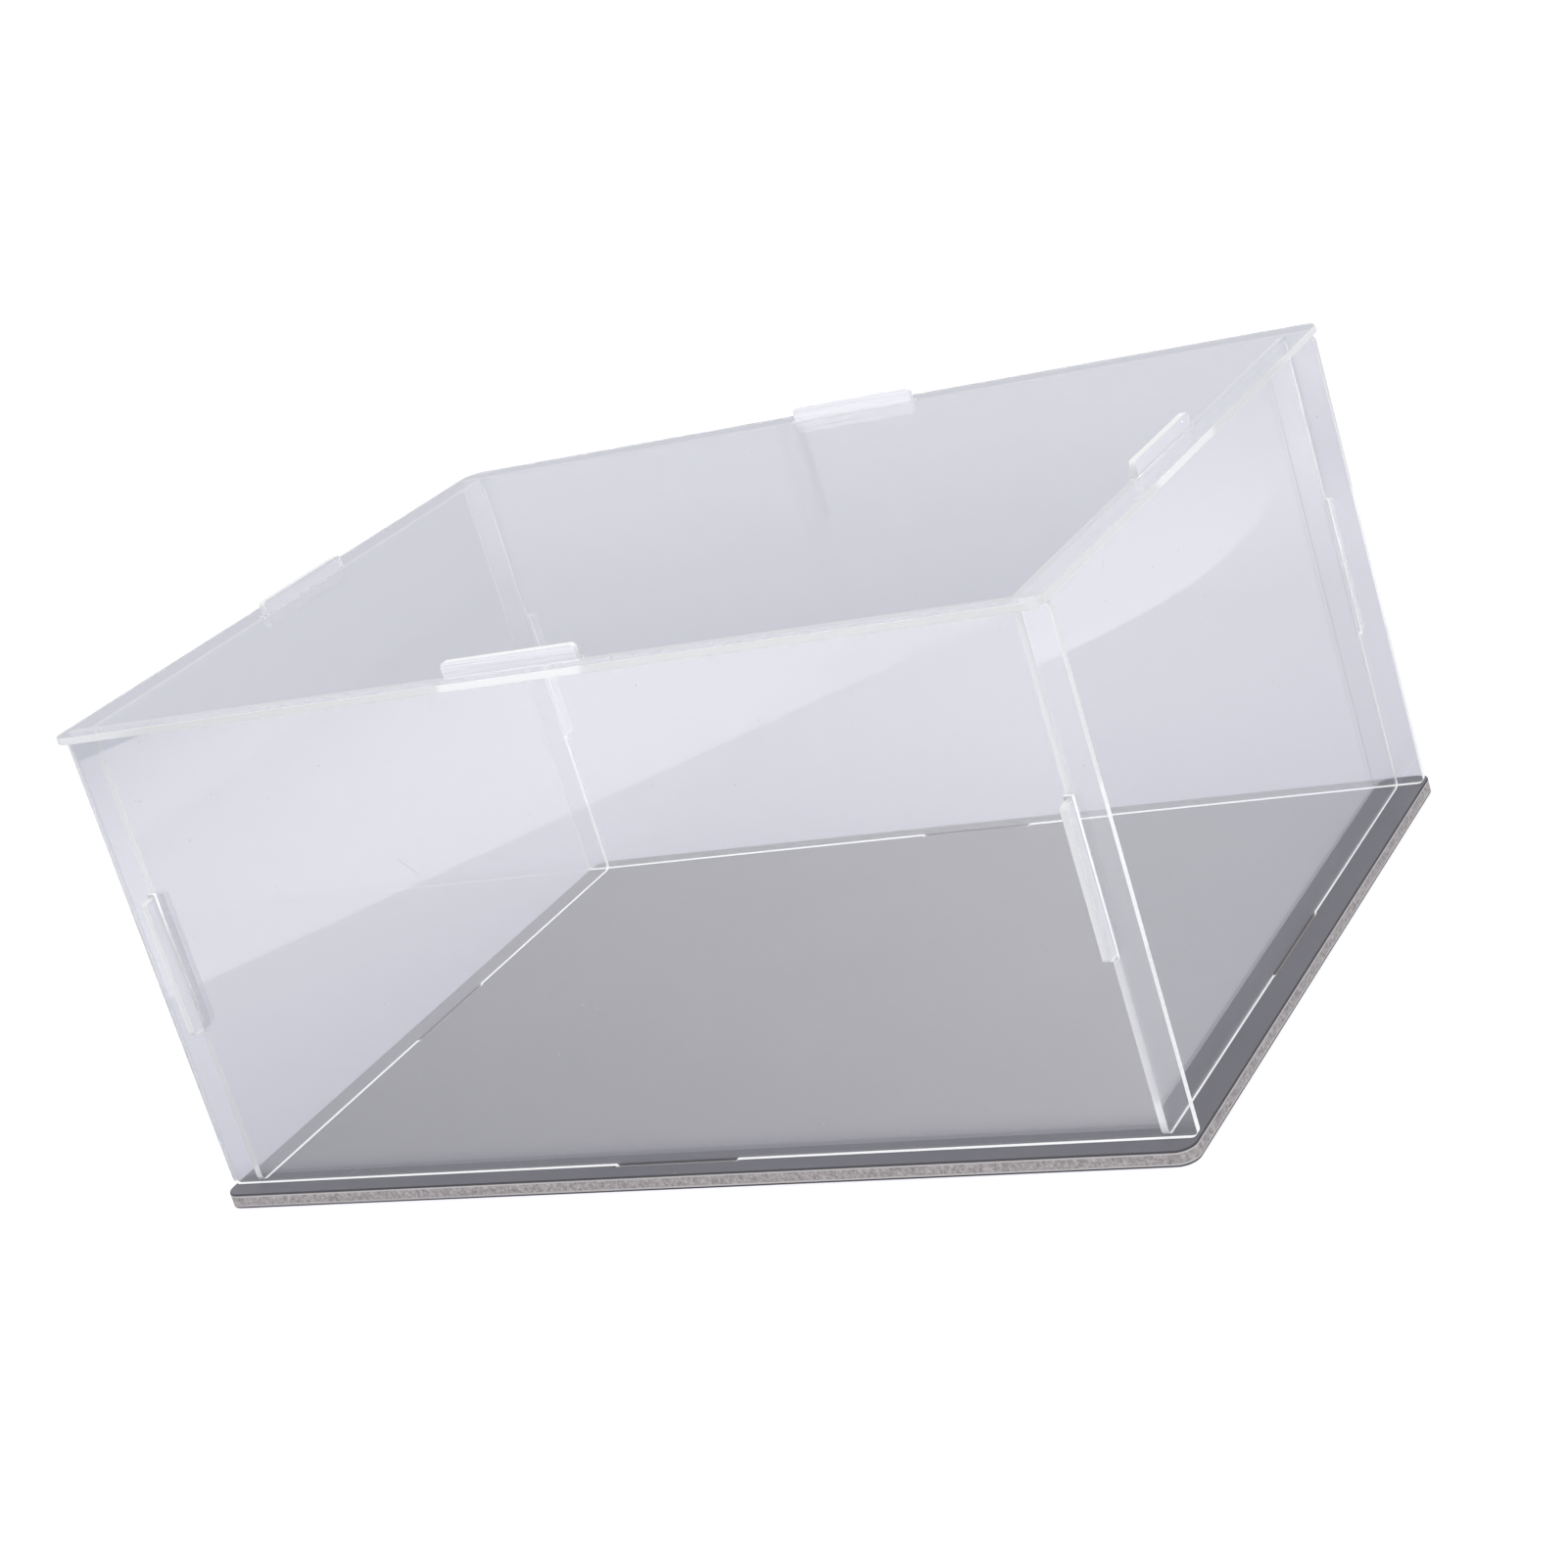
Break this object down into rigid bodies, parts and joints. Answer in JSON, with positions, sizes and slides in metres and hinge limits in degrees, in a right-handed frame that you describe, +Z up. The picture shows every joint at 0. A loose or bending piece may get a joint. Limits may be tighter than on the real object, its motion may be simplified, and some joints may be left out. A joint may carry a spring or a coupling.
{
  "type": "display case",
  "caption": "Clear flat-pack display case: tabbed acrylic walls lock together, stand in the slots of a dark board base and carry a slotted clear top.",
  "frame": {"origin": "centre of the underside of the base, on the surface that the case stands on", "axes": "+X along the long front to the right, +Y from the front to the back, +Z up"},
  "size_m": [0.3, 0.224, 0.1505],
  "materials": {
    "dark_board": "satin foamed board with a grainy sawn edge",
    "clear_acrylic": "clear polished sheet with bright cut edges"
  },
  "bodies": {
    "base": {"base_plate": "dark_board"},
    "walls": {"front_panel": "clear_acrylic", "back_panel": "clear_acrylic", "left_panel": "clear_acrylic", "right_panel": "clear_acrylic"},
    "top": {"top_panel": "clear_acrylic"}
  },
  "joints": [
    {"name": "walls_lift", "type": "slide", "parent": "base", "child": "walls", "axis": [0, 0, 1], "range_m": [0, 0.16]},
    {"name": "top_lift", "type": "slide", "parent": "walls", "child": "top", "axis": [0, 0, 1], "range_m": [0, 0.06]}
  ]
}
